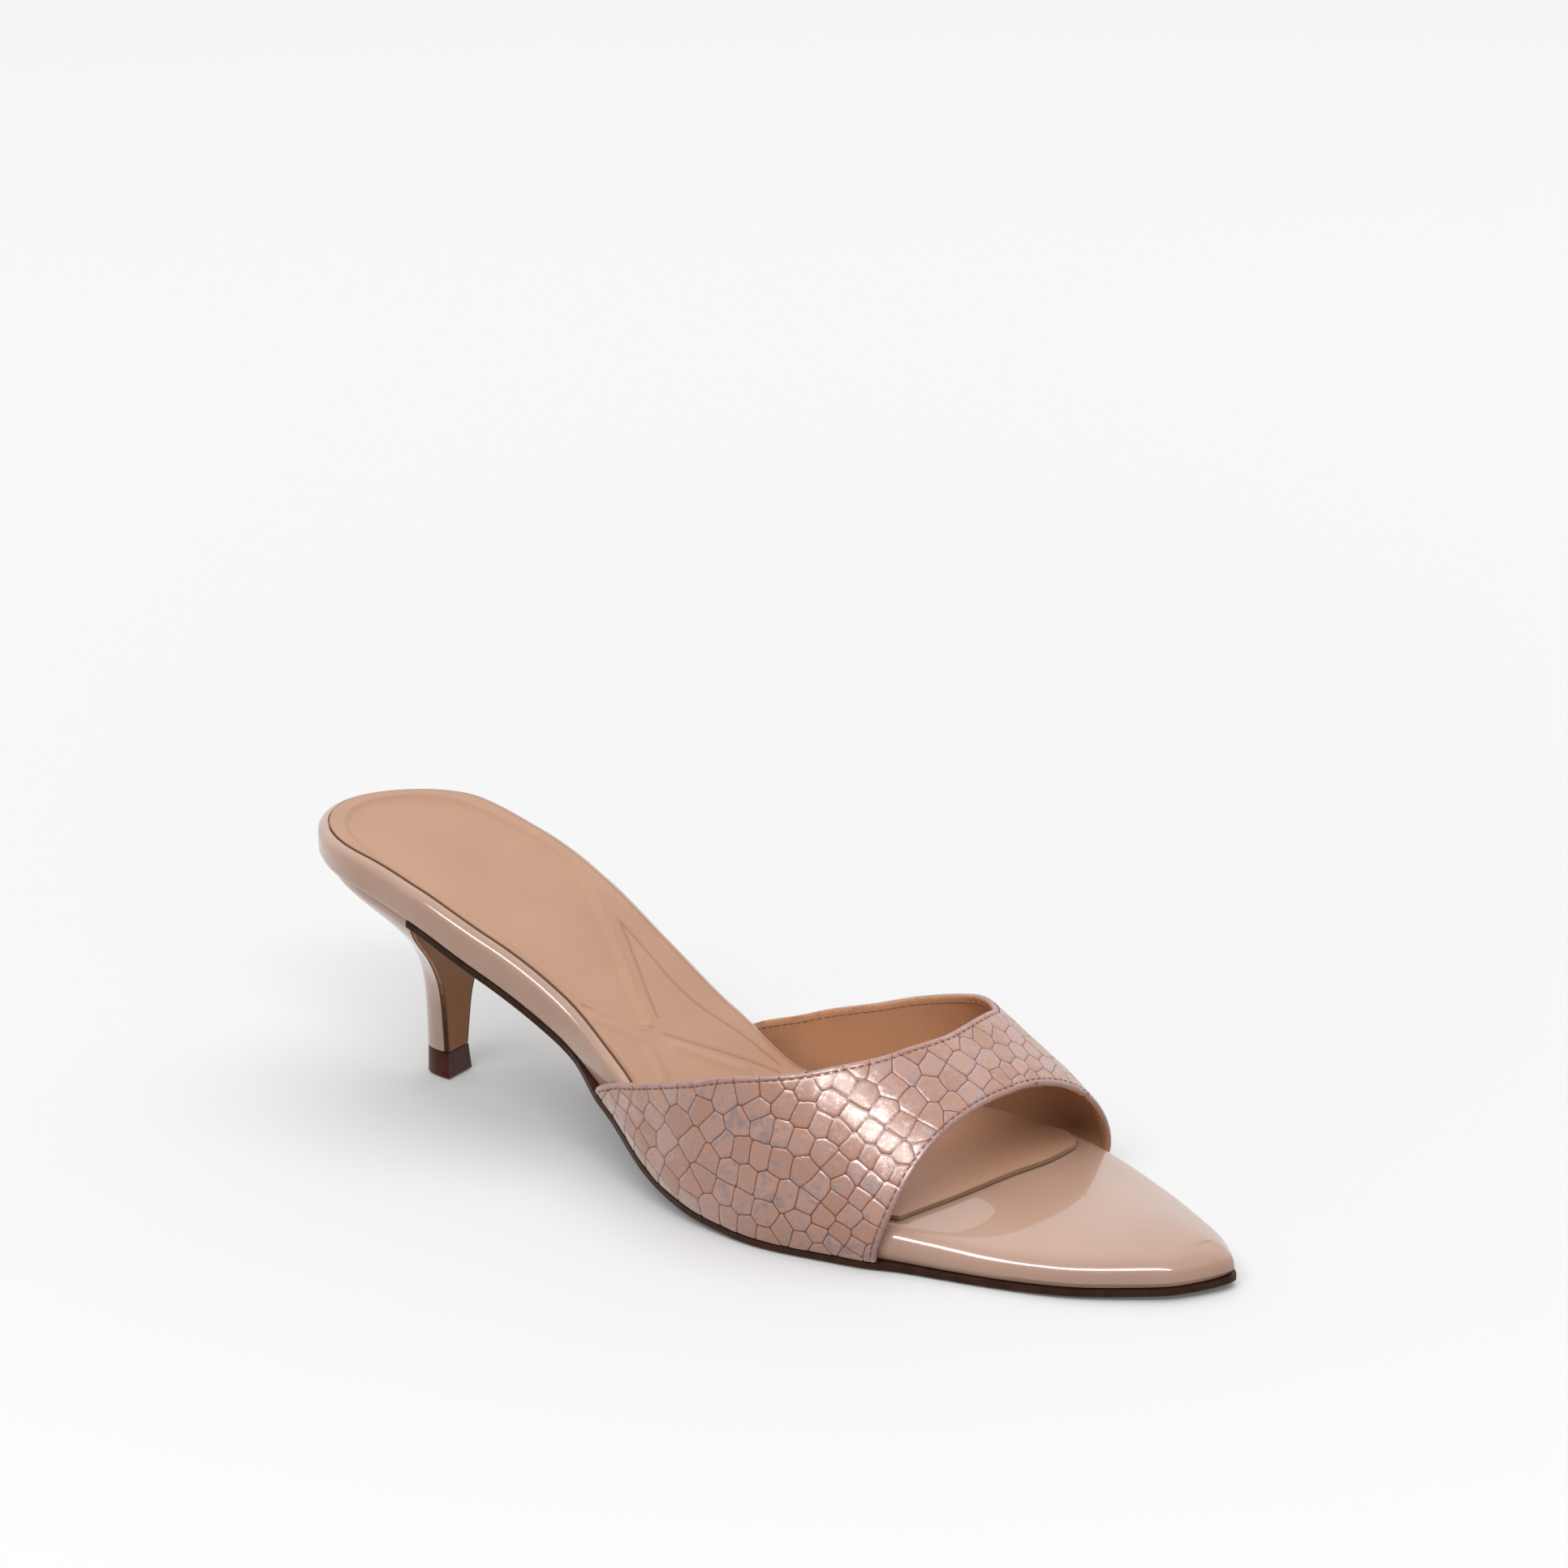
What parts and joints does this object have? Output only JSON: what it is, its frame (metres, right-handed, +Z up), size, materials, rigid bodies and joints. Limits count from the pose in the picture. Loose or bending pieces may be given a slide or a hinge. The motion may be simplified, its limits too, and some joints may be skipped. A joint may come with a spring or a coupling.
{
  "type": "low heel sandal",
  "caption": "Open-toe slip-on sandal for the right foot, with one wide embossed leather strap, a glossy wrapped footbed and a slim low heel",
  "frame": {"origin": "middle of the shoe's outline, on the floor it stands on", "axes": "+X from the heel to the toe, +Y to the inner side of the foot, +Z up"},
  "size_m": [0.2504, 0.0838, 0.0631],
  "materials": {
    "sole": "dark brown sole leather with an inked edge",
    "patent": "nude patent leather, high gloss",
    "sock": "matte nude lining leather, softly pressed",
    "strap": "rosy leather embossed with scales, pearly sheen",
    "breast": "tan leather facing, satin",
    "tip": "dark brown hard heel tip, satin"
  },
  "bodies": {
    "root": {"outsole": "sole", "footbed": "patent", "sock": "sock", "strap": "strap", "heel": "patent", "breast_cover": "breast", "top_piece": "tip"}
  },
  "joints": []
}
